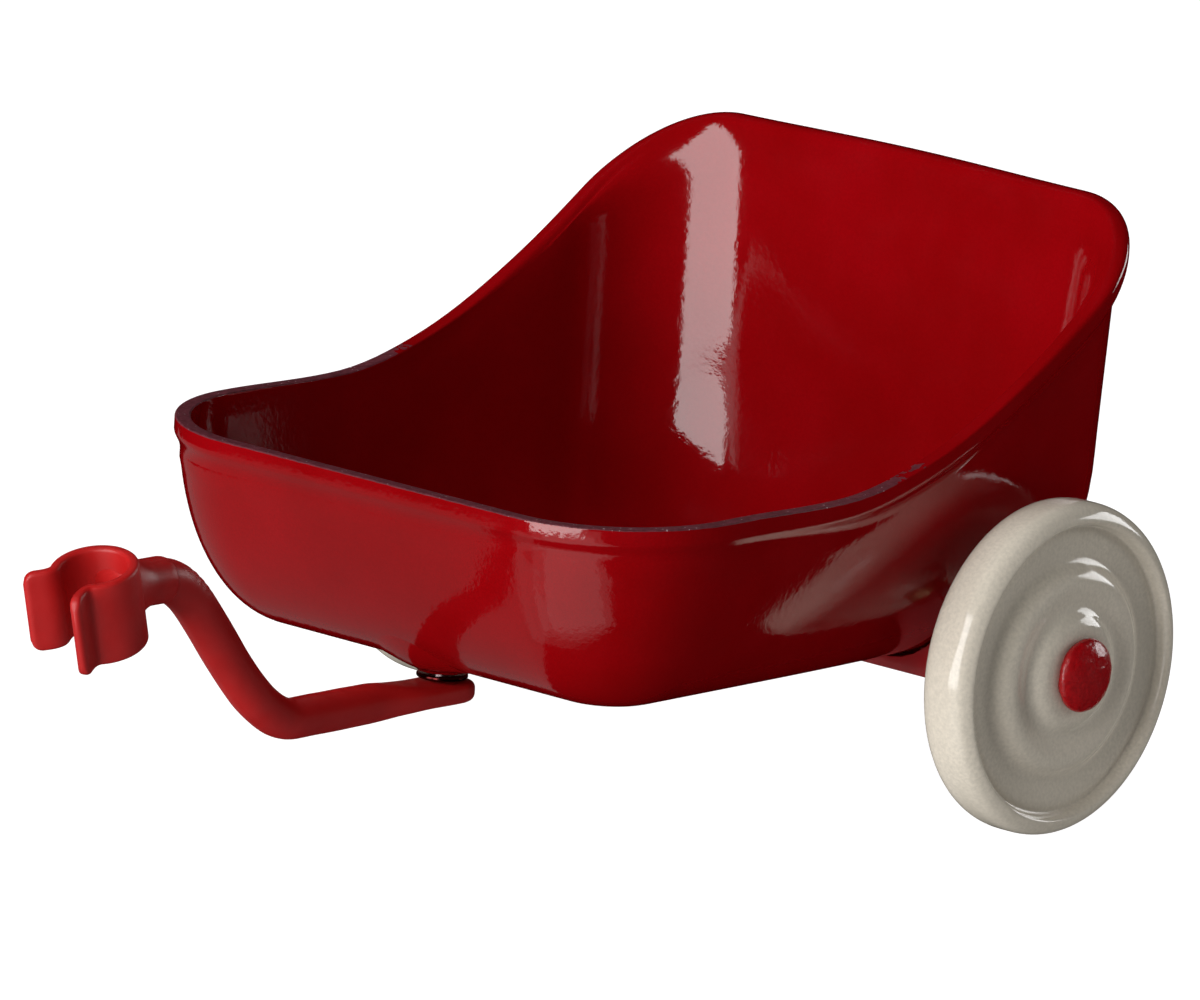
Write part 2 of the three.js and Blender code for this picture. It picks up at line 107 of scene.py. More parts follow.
# Height of the rim along the side: distance behind the tub's middle, height.
RIM_LINE = [
    (-42.85 * MM, 37.8 * MM),
    (-25 * MM, 38.3 * MM),
    (-8 * MM, 38.3 * MM),
    (0, 39.6 * MM),
    (10 * MM, 43.0 * MM),
    (21 * MM, 48.8 * MM),
    (32 * MM, 56.1 * MM),
    (42.85 * MM, 63.9 * MM),
]

WHEEL_LOW, WHEEL_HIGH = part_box("left_wheel")
WHEEL_RADIUS = (WHEEL_HIGH.z - WHEEL_LOW.z) / 2
WHEEL_INNER = 38.65 * MM
WHEEL_OUTER = WHEEL_INNER + 7.5 * MM
WHEEL_BORE = 1.5 * MM
# The enamelled rim is rounded back from both of the wheel's faces.
RIM_BACK = 0.3 * MM
AXLE = joint_at("left_wheel_spin")
CAP_LOW, CAP_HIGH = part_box("left_hub_cap")
CAP_RADIUS = (CAP_HIGH.z - CAP_LOW.z) / 2
CAP_SKIRT = 0.35 * MM
CAP_UNEVEN = 0.09 * MM

PIVOT = joint_at("tow_bar_swivel")
WASHER_LOW, WASHER_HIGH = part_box("pivot_washer")
WASHER_BORE = 1.2 * MM
WASHER_EDGE = 0.25 * MM
RIVET_HEAD = 0.9 * MM
RIVET_SHANK = 1.0 * MM
HARDWARE_BEVEL = 0.12 * MM
BRACKET_BEVEL = 0.25 * MM
BOSS_FACE = TUB_LOW.z
BOSS_RADIUS = 2.9 * MM
BOSS_EDGE = 0.25 * MM
BOSS_FLARE = 8.4 * MM
FLARE_CURVE = 1.6
# How far the flare's rim, and the hidden back of the boss, are sunk into the tub's sheet.
FLARE_SUNK = 0.2 * MM
BOSS_SUNK = 0.5 * MM


# ---------- numbers ----------


def lerp(a, b, t):
    return a + (b - a) * t


def clamp(value, low=0.0, high=1.0):
    return min(max(value, low), high)


def smoothstep(value, low, high):
    t = clamp((value - low) / (high - low))
    return t * t * (3 - 2 * t)


def smooth_through(points):
    """A smooth function through (x, value) points."""
    last = len(points) - 1
    slopes = []
    for i in range(last + 1):
        before, after = points[max(i - 1, 0)], points[min(i + 1, last)]
        slopes.append((after[1] - before[1]) / (after[0] - before[0]))

    def value(x):
        i = max([k for k in range(last) if points[k][0] <= x], default=0)
        (x0, v0), (x1, v1) = points[i], points[i + 1]
        span = x1 - x0
        t = clamp((x - x0) / span)
        rise = v0 * (1 + 2 * t) * (1 - t) ** 2 + v1 * t * t * (3 - 2 * t)
        return rise + span * (slopes[i] * t * (1 - t) ** 2 - slopes[i + 1] * t * t * (1 - t))

    return value


# ---------- meshes ----------


def add_piece(name, vertices, faces, material, body, smooth=True):
    mesh = bpy.data.meshes.new(name)
    mesh.from_pydata(vertices, [], faces)
    mesh.update()
    shape = bmesh.new()
    shape.from_mesh(mesh)
    bmesh.ops.recalc_face_normals(shape, faces=shape.faces)
    shape.to_mesh(mesh)
    shape.free()
    for polygon in mesh.polygons:
        polygon.use_smooth = smooth
    piece = bpy.data.objects.new(name, mesh)
    bpy.context.scene.collection.objects.link(piece)
    mesh.materials.append(material)
    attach(piece, body)
    return piece


def loft(rings, closed=True, first_cap=True, last_cap=True):
    """Vertices and faces of a skin through rings of points, with a fan over each capped end."""
    size = len(rings[0])
    vertices = [point for ring in rings for point in ring]
    faces = []
    spans = size if closed else size - 1
    for i in range(len(rings) - 1):
        for j in range(spans):
            k = (j + 1) % size
            a, b = i * size, (i + 1) * size
            faces.append((a + j, a + k, b + k, b + j))
    for cap, start in ((first_cap, 0), (last_cap, (len(rings) - 1) * size)):
        if not cap:
            continue
        centre = sum(vertices[start : start + size], Vector()) / size
        vertices.append(centre)
        tip = len(vertices) - 1
        faces += [(start + j, start + (j + 1) % size, tip) for j in range(size)]
    return vertices, faces


def turned(profile, centre, axis, segments=128, wobble=None):
    """A body turned about an axis through centre, from (along, radius) points."""
    direction = Vector(axis).normalized()
    side = direction.orthogonal().normalized()
    other = direction.cross(side)
    rings = []
    for along, radius in profile:
        ring = []
        for k in range(segments):
            angle = 2 * math.pi * k / segments
            spoke = side * math.cos(angle) + other * math.sin(angle)
            point = centre + direction * along + spoke * radius
            if wobble:
                point += wobble(point, direction, spoke)
            ring.append(point)
        rings.append(ring)
    return rings


def rounded(corners, steps=6):
    """An open outline through (x, y, radius) corners, each rounded by an arc-like curve."""
    points = []
    for i, (x, y, radius) in enumerate(corners):
        here = Vector((x, y))
        if radius == 0 or i in (0, len(corners) - 1):
            points.append(here)
            continue
        before = Vector(corners[i - 1][:2])
        after = Vector(corners[i + 1][:2])
        enter = here + (before - here).normalized() * min(radius, (before - here).length * 0.49)
        leave = here + (after - here).normalized() * min(radius, (after - here).length * 0.49)
        for k in range(steps + 1):
            t = k / steps
            points.append(enter * (1 - t) ** 2 + here * 2 * t * (1 - t) + leave * t * t)
    return [(point.x, point.y) for point in points]


def dense(outline, longest):
    """The same outline with no step longer than a given length."""
    points = [outline[0]]
    for (x0, y0), (x1, y1) in zip(outline, outline[1:]):
        count = max(1, math.ceil(math.hypot(x1 - x0, y1 - y0) / longest))
        points += [(lerp(x0, x1, k / count), lerp(y0, y1, k / count)) for k in range(1, count + 1)]
    return points


# ---------- materials ----------


class Recipe:
    """A node material built a step at a time. Its texture coordinates are the object's own."""

    def __init__(self, name):
        self.material = bpy.data.materials.new(name)
        self.material.use_nodes = True
        self.tree = self.material.node_tree
        self.shader = self.tree.nodes["Principled BSDF"]
        self.place = self.add("ShaderNodeTexCoord").outputs["Object"]

    def add(self, kind, settings=None, **inputs):
        node = self.tree.nodes.new(kind)
        for key, value in (settings or {}).items():
            setattr(node, key, value)
        for key, value in inputs.items():
            self.feed(node.inputs[key.replace("_", " ")], value)
        return node

    def feed(self, socket, value):
        if isinstance(value, bpy.types.NodeSocket):
            self.tree.links.new(value, socket)
        else:
            socket.default_value = value

    def noise(self, scale, detail=2.0, roughness=0.5):
        node = self.add(
            "ShaderNodeTexNoise", Vector=self.place, Scale=scale, Detail=detail, Roughness=roughness
        )
        return node.outputs["Fac"]

    def vertex_value(self, name):
        return self.add("ShaderNodeAttribute", {"attribute_name": name}).outputs["Fac"]

    def above(self, value, limit):
        """1 where the value is above the limit, and 0 elsewhere."""
        node = self.add("ShaderNodeMath", {"operation": "GREATER_THAN"}, Value=value)
        self.feed(node.inputs[1], limit)
        return node.outputs["Value"]

    def lerp(self, factor, low, high):
        """A number that goes from low to high with a factor. Either may be a socket."""
        node = self.add("ShaderNodeMix", {"data_type": "FLOAT"})
        self.feed(node.inputs["Factor"], factor)
        self.feed(node.inputs["A"], low)
        self.feed(node.inputs["B"], high)
        return node.outputs["Result"]

    def spread(self, value, low, high, to_low=0.0, to_high=1.0):
        node = self.add("ShaderNodeMapRange", Value=value, From_Min=low, From_Max=high)
        node.inputs["To Min"].default_value = to_low
        node.inputs["To Max"].default_value = to_high
        return node.outputs["Result"]

    def blend(self, factor, first, second):
        node = self.add("ShaderNodeMix", {"data_type": "RGBA"})
        self.feed(node.inputs["Factor"], factor)
        self.feed(node.inputs["A"], first)
        self.feed(node.inputs["B"], second)
        return node.outputs["Result"]

    def bump(self, height, distance, strength=1.0, under=None):
        node = self.add("ShaderNodeBump", Height=height, Distance=distance, Strength=strength)
        if under:
            self.feed(node.inputs["Normal"], under)
        return node.outputs["Normal"]

    def finish(self, **inputs):
        for key, value in inputs.items():
            self.feed(self.shader.inputs[key.replace("_", " ")], value)
        return self.material


def enamel(name, colour, shade, roughness, grain):
    """Glossy enamel: a little uneven in colour and gloss, with an orange-peel skin."""
    recipe = Recipe(name)
    tone = recipe.spread(recipe.noise(90, 3), 0.35, 0.65)
    speck = recipe.spread(recipe.noise(2600, 2), 0.3, 0.7)
    base = recipe.blend(tone, (*shade, 1), (*colour, 1))
    fine = recipe.blend(speck, tuple(0.9 * c for c in shade) + (1,), base)
    gloss = recipe.spread(recipe.noise(240, 2), 0.3, 0.7, 0.7 * roughness, 1.4 * roughness)
    broad = recipe.bump(recipe.noise(150, 1), 0.00006, 0.5)
    peel = recipe.bump(recipe.noise(1500, 2), 0.00002 + 0.00008 * grain, grain, broad)
    return recipe.finish(Base_Color=fine, Roughness=gloss, Normal=peel)


def moulded(name, colour, shade, roughness, gleam=0.5):
    """Satin moulded plastic, faintly mottled and pitted."""
    recipe = Recipe(name)
    tone = recipe.spread(recipe.noise(160, 3), 0.3, 0.7)
    base = recipe.blend(tone, (*shade, 1), (*colour, 1))
    gloss = recipe.spread(recipe.noise(500, 3), 0.3, 0.7, 0.85 * roughness, 1.15 * roughness)
    dents = recipe.bump(recipe.noise(300, 2), 0.0001, 0.5)
    pits = recipe.bump(recipe.noise(2200, 3), 0.00003, 0.4, dents)
    recipe.shader.inputs["Specular IOR Level"].default_value = gleam
    return recipe.finish(Base_Color=base, Roughness=gloss, Normal=pits)


def metal(name, colour, shade, roughness):
    """Bare metal with fine turned or drawn marks and darker patches."""
    recipe = Recipe(name)
    tone = recipe.spread(recipe.noise(700, 4), 0.3, 0.7)
    base = recipe.blend(tone, (*shade, 1), (*colour, 1))
    gloss = recipe.spread(recipe.noise(1500, 3), 0.3, 0.7, 0.7 * roughness, 1.3 * roughness)
    marks = recipe.bump(recipe.noise(3000, 3), 0.00002, 0.4)
    return recipe.finish(Base_Color=base, Roughness=gloss, Normal=marks, Metallic=1.0)


TRIMMED = "trimmed_edge"
BRIGHT_RED = (0.265, 0.001, 0.003, 1)
PLAIN_RED = (0.23, 0.0008, 0.002, 1)
GRAIN_RED = (0.17, 0.0008, 0.002, 1)
WORN_DARK = (0.075, 0.006, 0.012, 1)
WORN_LIGHT = (0.13, 0.02, 0.032, 1)
CHIP = (0.55, 0.45, 0.46, 1)
WORN_ROUGHNESS = 0.7


def tub_enamel():
    """Red enamel, with bare-looking matte paint where the sheet's edge is trimmed."""
    recipe = Recipe("red_enamel")
    tone = recipe.spread(recipe.noise(90, 3), 0.35, 0.65)
    glossy = recipe.blend(tone, PLAIN_RED, BRIGHT_RED)
    grime = recipe.spread(recipe.noise(1400, 4, 0.7), 0.4, 0.62)
    grain = recipe.spread(recipe.noise(3800, 1), 0.25, 0.75, 0.0, 0.35)
    glossy = recipe.blend(grain, glossy, GRAIN_RED)
    matte = recipe.blend(grime, WORN_DARK, WORN_LIGHT)
    chips = recipe.spread(recipe.noise(2300, 2), 0.69, 0.74)
    matte = recipe.blend(chips, matte, CHIP)
    wavy_edge = recipe.spread(recipe.noise(700, 3), 0.3, 0.7, 0.3, 0.7)
    share = recipe.above(recipe.vertex_value(TRIMMED), wavy_edge)
    gloss = recipe.spread(recipe.noise(240, 2), 0.3, 0.7, 0.05, 0.11)
    broad = recipe.bump(recipe.noise(150, 1), 0.00006, 0.4)
    peel = recipe.bump(recipe.noise(1500, 2), 0.00004, 0.5, broad)
    rough = recipe.bump(recipe.noise(2600, 3), 0.00008, recipe.lerp(share, 0.0, 1.0), peel)
    return recipe.finish(
        Base_Color=recipe.blend(share, glossy, matte),
        Roughness=recipe.lerp(share, gloss, WORN_ROUGHNESS),
        Normal=rough,
    )


RED_ENAMEL = tub_enamel()
CREAM_ENAMEL = enamel("cream_enamel", (0.76, 0.69, 0.58), (0.71, 0.645, 0.54), 0.1, 0.2)
CAP_ENAMEL = enamel("cap_enamel", (0.42, 0.003, 0.006), (0.34, 0.002, 0.005), 0.24, 1.0)
RED_PAINT = moulded("red_paint", (0.24, 0.002, 0.004), (0.19, 0.0015, 0.003), 0.25)
RED_PLASTIC = moulded("red_plastic", (0.46, 0.009, 0.009), (0.38, 0.006, 0.006), 0.42, 0.4)
STEEL = metal("plain_steel", (0.56, 0.56, 0.57), (0.42, 0.42, 0.43), 0.32)
# The washer's steel is darkened and tinted red: painted shade in the gap between the boss and the bar,
# and a painted reflection of the red parts round it.
SHADED_RED_TINT_STEEL = metal("dark_steel", (0.17, 0.03, 0.03), (0.07, 0.01, 0.01), 0.15)
BRASS = metal("dull_brass", (0.36, 0.27, 0.15), (0.24, 0.17, 0.09), 0.5)


# ---------- tub ----------

rim_height = smooth_through(RIM_LINE)
inner_lean = smooth_through(INNER_LEAN)


def corner_point(corner, turn, inset, sweep=0.0):
    """A point on a corner of the plan. sweep goes from 0 to 1 as the corner opens out inside."""
    sign_x, sign_y, corner_radius, start = corner
    radius = max(corner_radius - inset, TIGHTEST_CORNER)
    if sign_y > 0:
        radius = lerp(radius, max(radius, INNER_SWEEP), sweep)
    angle = math.radians(start + 90 * turn)
    return Vector(
        (
            sign_x * (TUB_WIDTH / 2 - inset - radius) + radius * math.cos(angle),
            TUB_MIDDLE + sign_y * (TUB_LENGTH / 2 - inset - radius) + radius * math.sin(angle),
        )
    )


def plan_stations(arc_steps=24, across_steps=18, along_steps=30):
    """Places round the plan, each a function from an inset and a sweep to its point."""
    corners = [
        (1, -1, FRONT_CORNER, -90),
        (1, 1, BACK_CORNER, 0),
        (-1, 1, BACK_CORNER, 90),
        (-1, -1, FRONT_CORNER, 180),
    ]
    stations = []
    for i, corner in enumerate(corners):
        following = corners[(i + 1) % 4]
        for k in range(arc_steps):
            stations.append(
                lambda inset, sweep=0.0, c=corner, t=k / arc_steps: corner_point(c, t, inset, sweep)
            )
        steps = along_steps if i % 2 == 0 else across_steps
        for k in range(steps):
            stations.append(
                lambda inset, sweep=0.0, c=corner, f=following, t=k / steps: corner_point(
                    c, 1, inset, sweep
                ).lerp(corner_point(f, 0, inset, sweep), t)
            )
    return stations


def skin_inset(z, rim, overhang, deep):
    """How far in from the lip's edge a skin of the wall is, as in the CAD."""
    climb = min((z - TUB_FOOT - deep) / (EDGE_RISE - deep), 1)
    rounding = (EDGE_REACH - deep) * (1 - math.sqrt(1 - (1 - climb) ** 2))
    straight_from = max(z, TUB_FOOT + EDGE_RISE)
    return overhang + deep + DRAFT * (rim - LIP_DEPTH - straight_from) + rounding


def lip_section(rim, overhang, roll):
    """The lip from the outer wall over to the inner wall, as (inset, z) points.

    roll is 0 where the edge is trimmed flat, in front and at the sides, and 1 at the back, where
    the sheet curls outwards in one soft curve."""
    size = {name: lerp(flat, curled, roll) for name, (flat, curled) in LIP_SIZES.items()}
    inside = skin_inset(rim - size["inner_edge"], rim, overhang, SHEET)
    corners = [
        (overhang, rim - LIP_DEPTH, 0),
        (overhang, rim - size["band"] - size["cove"], COVE_RADIUS),
        (0.0, rim - size["band"], size["heel"]),
        (0.0, rim, size["edge"]),
        (inside, rim, size["inner_edge"]),
        (inside, rim - size["inner_run"], 0),
    ]
    return rounded(corners, 7)


def wall_section(x, y, levels=26):
    """(inset, z) from the foot outside, over the lip, and down to the floor inside."""
    behind = y - TUB_MIDDLE
    crown = CROWN * (1 - smoothstep(abs(x), 0, CROWN_REACH))
    rim = rim_height(behind) + crown * smoothstep(behind, *CROWN_GROWS)
    overhang = lerp(FRONT_OVERHANG, BACK_OVERHANG, smoothstep(behind, *OVERHANG_GROWS))
    lip = lip_section(rim, overhang, smoothstep(behind, *LIP_CURLS))

    def skin(deep, top):
        foot = TUB_FOOT + deep
        climbs = [1 - math.cos(math.pi / 2 * k / levels) for k in range(levels + 1)]
        heights = [lerp(foot, top, climb) for climb in climbs]
        return [(skin_inset(z, rim, overhang, deep), z) for z in heights]

    def leaning(inset, z):
        return inset + inner_lean(z) - inner_lean(lip[-1][1]), z

    outside = skin(0, lip[0][1])
    inside = [leaning(inset, z) for inset, z in skin(SHEET, lip[-1][1])]
    return outside[:-1] + lip + inside[-2::-1]


def trimmed_shares(y, section, rim):
    """How much each point of a section lies on the flat, trimmed top of the edge, from 0 to 1."""
    here = 1 - smoothstep(y - TUB_MIDDLE, *TRIM_FADES)
    low, high = (rim - depth for depth in TRIM_DEPTHS)
    return [here * smoothstep(z, low, high) for _, z in section]


def floor_rings(ring):
    """Rings from one round the edge of the tub's floor in towards the floor's middle."""
    centre = Vector((0, TUB_MIDDLE, ring[0].z))
    return [[point.lerp(centre, share) for point in ring] for share in (0.3, 0.6, 0.85)]


def make_tub():
    stations = plan_stations()
    columns = []
    shares = []
    for station in stations:
        x, y = station(0)
        section = wall_section(x, y)
        heights = [z for _, z in section]
        rim = max(heights)
        crest = heights.index(rim)
        column = []
        for level, (inset, z) in enumerate(section):
            sweep = smoothstep(rim - z, SWEEP_FROM, SWEEP_BY) if level > crest else 0.0
            column.append(Vector((*station(inset, sweep), z)))
        columns.append(column)
        shares.append(trimmed_shares(y, section, rim))
    rings = [list(ring) for ring in zip(*columns)]
    under = floor_rings(rings[0])[::-1]
    over = floor_rings(rings[-1])
    vertices, faces = loft(under + rings + over)
    tub = add_piece("tub_enamel", vertices, faces, RED_ENAMEL, "chassis")
    trimmed = tub.data.attributes.new(TRIMMED, "FLOAT", "POINT")
    first = len(under) * len(stations)
    for level, ring_shares in enumerate(zip(*shares)):
        for i, share in enumerate(ring_shares):
            trimmed.data[first + level * len(stations) + i].value = share
    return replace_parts(tub, "tub")


def front_underside(y):
    """Height of the tub's underside, where the floor rounds up into the front wall."""
    rim = rim_height(-TUB_LENGTH / 2)
    foot_line = TUB_LOW.y + skin_inset(TUB_FOOT, rim, FRONT_OVERHANG, 0)
    reach = clamp((foot_line - y) / EDGE_REACH, 0, 0.99)
    return TUB_FOOT + EDGE_RISE * (1 - math.sqrt(1 - reach**2))


def make_boss(sides=96, steps=16):
    """The pressed boss that the tow bar turns on, flaring into the tub's underside."""
    angles = [2 * math.pi * k / sides for k in range(sides)]
    spokes = [Vector((math.cos(angle), math.sin(angle), 0)) for angle in angles]

    def ring(radius, height):
        points = [Vector((PIVOT.x, PIVOT.y, 0)) + spoke * radius for spoke in spokes]
        return [Vector((point.x, point.y, height(point.y))) for point in points]

    def flare(share):
        edge = BOSS_FACE + BOSS_EDGE
        return lambda y: lerp(front_underside(y) + FLARE_SUNK, edge, share**FLARE_CURVE)

    shares = [k / steps for k in range(steps + 1)]
    hidden = [
        ring(lerp(0.5 * MM, BOSS_FLARE, share), lambda y: front_underside(y) + BOSS_SUNK)
        for share in shares
    ]
    shown = [ring(lerp(BOSS_FLARE, BOSS_RADIUS, share), flare(share)) for share in shares]
    edge = [
        ring(BOSS_RADIUS - 0.1 * MM, lambda y: BOSS_FACE + 0.08 * MM),
        ring(BOSS_RADIUS - 0.3 * MM, lambda y: BOSS_FACE),
    ]
    vertices, faces = loft(hidden + shown + edge)
    return add_piece("floor_boss", vertices, faces, RED_ENAMEL, "chassis")


# ---------- wheels and hubs ----------


def wheel_profile():
    """(along the axle, radius) round the wheel's whole section, from the bore's inner end."""
    inner, outer = WHEEL_INNER, WHEEL_OUTER
    rim = WHEEL_RADIUS
    hub_and_back = [
        (inner - 0.1 * MM, WHEEL_BORE, 0),
        (inner - 0.1 * MM, 3.2 * MM, 0.3 * MM),
        (inner + 2.0 * MM, 4.0 * MM, 1.0 * MM),
        (inner + 2.2 * MM, 13.0 * MM, 1.0 * MM),
    ]
    round_the_rim = [
        (inner + RIM_BACK, 14.1 * MM, 0.8 * MM),
        (inner + RIM_BACK, rim - 1.7 * MM, 1.3 * MM),
        (inner + 1.6 * MM, rim, 1.5 * MM),
        (outer - 1.6 * MM, rim, 1.5 * MM),
        (outer - RIM_BACK, rim - 1.7 * MM, 1.3 * MM),
        (outer - 0.9 * MM, 15.8 * MM, 0.4 * MM),
        (outer - 1.95 * MM, 15.5 * MM, 0.25 * MM),
    ]
    pressed_face = [
        (outer - 1.75 * MM, 14.7 * MM, 0.5 * MM),
        (outer - 2.0 * MM, 11.9 * MM, 0.9 * MM),
        (outer - 0.2 * MM, 10.1 * MM, 1.2 * MM),
        (outer - 0.9 * MM, 7.0 * MM, 0.9 * MM),
        (outer + 0.2 * MM, 5.6 * MM, 0.7 * MM),
        (outer + 0.45 * MM, 4.5 * MM, 0.6 * MM),
        (outer + 0.45 * MM, WHEEL_BORE, 0),
    ]
    return dense(rounded(hub_and_back + round_the_rim + pressed_face, 8), 0.45 * MM)


def make_wheel(side, sign):
    profile = [(sign * along, radius) for along, radius in wheel_profile()]
    profile.append(profile[0])
    centre = Vector((0, AXLE.y, AXLE.z))
    rings = turned(profile, centre, (1, 0, 0), 160)
    vertices, faces = loft(rings, first_cap=False, last_cap=False)
    wheel = add_piece(
        f"{side}_wheel_enamel", vertices, faces, CREAM_ENAMEL, f"{side}_wheel"
    )
    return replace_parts(wheel, f"{side}_wheel")


def make_cap(side, sign):
    start = abs(CAP_LOW.x)
    rise = CAP_HIGH.x - CAP_LOW.x - CAP_SKIRT
    angles = [math.pi / 2 * k / 24 for k in range(25)]
    dome = [
        (start + CAP_SKIRT + rise * math.sin(angle), CAP_RADIUS * math.cos(angle))
        for angle in angles
    ]
    profile = [(start, 0), (start, CAP_RADIUS - 0.1 * MM), *dome]
    profile = [(sign * along, max(radius, 0.02 * MM)) for along, radius in profile]

    def wobble(point, direction, spoke):
        return direction * sign * CAP_UNEVEN * noise.noise(point * 900)

    centre = Vector((0, AXLE.y, AXLE.z))
    vertices, faces = loft(turned(profile, centre, (1, 0, 0), 96, wobble))
    cap = add_piece(f"{side}_cap_dome", vertices, faces, CAP_ENAMEL, "chassis")
    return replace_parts(cap, f"{side}_hub_cap")


# ---------- tow bar and clip ----------

EYE_TAIL = 3.9 * MM
BAR_LEVEL = 13.3 * MM
BAR_LOW_BEND = (-55.9 * MM, 4.2 * MM, 9.9 * MM)
BAR_HIGH_BEND = (-70.1 * MM, 5.4 * MM, 3.0 * MM)
BAR_HIGH_LEVEL = 30.6 * MM
BAR_END = Vector((0, TUB_MIDDLE - 73.3 * MM, 30.8 * MM))
BAR_THICK = 4.15 * MM
NECK_THICK = 4.65 * MM
EYE_HEIGHT = 2.6 * MM
EYE_WIDTH = 5.8 * MM
EYE_LEVEL = 13.25 * MM
EYE_TIP = 0.35
# Distances along the bar from the tip of the eye: where it stops being flat, where it is round.
FLAT_TO_ROUND = (EYE_TAIL + 3.05 * MM, EYE_TAIL + 12 * MM)
BAR_UNEVEN = 0.05 * MM
# Fine ripples round the upper bend, in a stretch measured back from the bar's end.
RIPPLE_LENGTH = 1.0 * MM
RIPPLE_HEIGHT = 0.035 * MM
RIPPLES_GROW = (8 * MM, 5 * MM)
RIPPLES_FADE = (4 * MM, 2 * MM)


def bar_line(spacing=0.22 * MM):
    """Points at even spacing along the bar's centre line, from the tip of the eye to the clip."""
    eye = Vector((0, PIVOT.y + EYE_TAIL, BAR_LEVEL))
    low = Vector((0, TUB_MIDDLE + BAR_LOW_BEND[0], BAR_LEVEL))
    high = Vector((0, TUB_MIDDLE + BAR_HIGH_BEND[0], BAR_HIGH_LEVEL))
    line = [eye]
    for before, at, after, (_, enters, leaves) in (
        (eye, low, high, BAR_LOW_BEND),
        (low, high, BAR_END, BAR_HIGH_BEND),
    ):
        enter = at + (before - at).normalized() * enters
        leave = at + (after - at).normalized() * leaves
        for k in range(33):
            t = k / 32
            line.append(enter * (1 - t) ** 2 + at * 2 * t * (1 - t) + leave * t * t)
    line.append(BAR_END)
    lengths = [0.0]
    for a, b in zip(line, line[1:]):
        lengths.append(lengths[-1] + (b - a).length)
    count = round(lengths[-1] / spacing)
    points = []
    i = 0
    for k in range(count + 1):
        distance = lengths[-1] * k / count
        while i < len(line) - 2 and lengths[i + 1] < distance:
            i += 1
        span = lengths[i + 1] - lengths[i]
        points.append(line[i].lerp(line[i + 1], (distance - lengths[i]) / span))
    return points, lengths[-1]


def bar_section(distance, total, sides=40):
    """(across, rise) points of the bar's section: flat at the eye, then round."""
    rounding = EYE_WIDTH / 2
    tip = math.sqrt(1 - (1 - min(distance / rounding, 1)) ** 2)
    roundness = smoothstep(distance, *FLAT_TO_ROUND)
    thick = lerp(BAR_THICK, NECK_THICK, distance / total)
    width = tip * lerp(EYE_WIDTH, thick, roundness)
    blunt = lerp(lerp(EYE_TIP, 1, tip), 1, roundness)
    height = blunt * lerp(EYE_HEIGHT, thick, roundness)
    power = lerp(0.6, 1, roundness)
    drop = (1 - roundness) * (BAR_LEVEL - EYE_LEVEL)
    section = []
    for k in range(sides):
        angle = 2 * math.pi * k / sides
        across = math.copysign(abs(math.cos(angle)) ** power, math.cos(angle)) * width / 2
        rise = math.copysign(abs(math.sin(angle)) ** power, math.sin(angle)) * height / 2
        section.append((across, rise - drop))
    return section


def bar_ripple(distance, total):
    """How far the bar's upper side stands out, at a distance from the tip of the eye."""
    from_end = total - distance
    here = smoothstep(-from_end, -RIPPLES_GROW[0], -RIPPLES_GROW[1])
    here *= 1 - smoothstep(-from_end, -RIPPLES_FADE[0], -RIPPLES_FADE[1])
    return RIPPLE_HEIGHT * here * math.sin(2 * math.pi * distance / RIPPLE_LENGTH)


def make_bar():
    points, total = bar_line()
    rings = []
    for i, point in enumerate(points):
        ahead = (points[min(i + 1, len(points) - 1)] - points[max(i - 1, 0)]).normalized()
        upward = Vector((1, 0, 0)).cross(ahead) * -1
        distance = total * max(i, 0.25) / (len(points) - 1)
        ripple = bar_ripple(distance, total)
        ring = []
        for across, rise in bar_section(distance, total):
            spot = point + Vector((across, 0, 0)) + upward * rise
            outward = (spot - point).normalized()
            uneven = BAR_UNEVEN * noise.noise(spot * 260)
            ring.append(spot + outward * (uneven + ripple * clamp(rise / BAR_THICK * 2)))
        rings.append(ring)
    vertices, faces = loft(rings)
    bar = add_piece("tow_bar_moulding", vertices, faces, RED_PLASTIC, "tow_bar")
    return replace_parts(bar, "tow_bar")


CLIP_RADIUS = 4.65 * MM
CLIP_WALL = 1.15 * MM
CLIP_HEIGHT = 9.1 * MM
CLIP_CENTRE = Vector((0, TUB_MIDDLE - 81.8 * MM, 29.3 * MM))
CLIP_MOUTH = math.radians(40)
CLIP_LIP = 3.3 * MM
CLIP_FLARE = math.radians(32)
CLIP_EDGE = 0.42 * MM
LIP_ROUND = 1.3 * MM
LIP_TAPER = 0.5 * MM
CLIP_TURN = (
    Matrix.Rotation(math.radians(18), 3, "X")
    @ Matrix.Rotation(math.radians(4), 3, "Y")
    @ Matrix.Rotation(math.radians(-10), 3, "Z")
)


def clip_line():
    """Middle line of the clip's wall in plan, from the tip of one lip to the tip of the other."""
    radius = CLIP_RADIUS - CLIP_WALL / 2
    end = math.pi - CLIP_MOUTH
    ring = [
        Vector((radius * math.sin(angle), radius * math.cos(angle)))
        for angle in (end * k / 40 for k in range(41))
    ]
    root = ring[-1]
    tip = root + Vector((math.sin(CLIP_FLARE), -math.cos(CLIP_FLARE))) * CLIP_LIP
    bend_start = ring[-5]
    bend_end = root.lerp(tip, 0.45)
    bend = [
        bend_start * (1 - t) ** 2 + root * 2 * t * (1 - t) + bend_end * t * t
        for t in (k / 10 for k in range(1, 11))
    ]
    straight = [bend_end.lerp(tip, k / 8) for k in range(1, 9)]
    half = ring[:-5] + [bend_start] + bend + straight
    mirrored = [Vector((-p.x, p.y)) for p in half[:0:-1]]
    return mirrored + half


